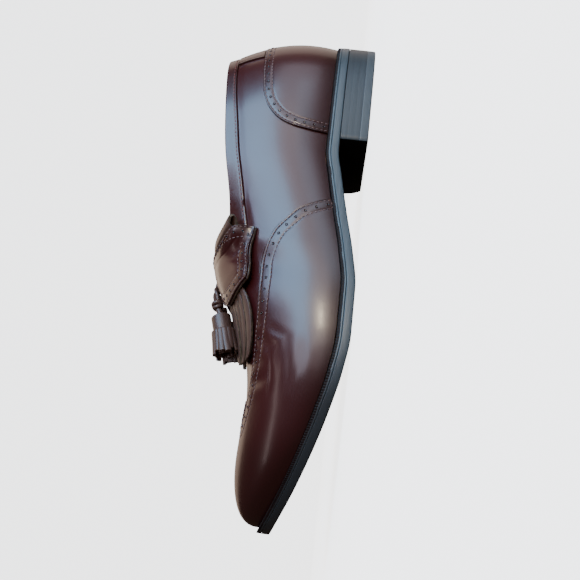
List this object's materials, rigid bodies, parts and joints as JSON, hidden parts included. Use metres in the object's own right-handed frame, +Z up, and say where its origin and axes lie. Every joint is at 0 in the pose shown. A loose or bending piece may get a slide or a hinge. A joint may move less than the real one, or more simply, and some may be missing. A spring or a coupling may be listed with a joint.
{
  "type": "wingtip loafer with fringed flap and tassels",
  "caption": "Leather wingtip slip-on shoe with a saddle strap, fringed instep flap, hanging tassels, welted sole and stacked heel, open at the collar for a foot.",
  "frame": {"origin": "on the floor, under the middle of the sole's length and width", "axes": "+X towards the toe, +Y towards the outer side of the left foot, +Z up"},
  "size_m": [0.304, 0.1018, 0.0922],
  "materials": {
    "calf": "high-gloss burgundy calf, brushed off to dark wine and brown black",
    "sole_leather": "black inked and waxed sole edge, satin",
    "heel_leather": "black inked stacked leather with fine layer lines, satin",
    "lift_rubber": "black rubber, dull",
    "insole_leather": "plain tan leather, dull"
  },
  "bodies": {
    "root": {"outsole": "sole_leather", "welt": "sole_leather", "heel_stack": "heel_leather", "top_lift": "lift_rubber", "insole": "insole_leather", "upper": "calf", "wing_cap": "calf", "heel_counter": "calf", "heel_tab": "calf", "collar_band": "calf", "kiltie": "calf", "strap": "calf", "tassel_outer": "calf", "tassel_inner": "calf"}
  },
  "joints": []
}
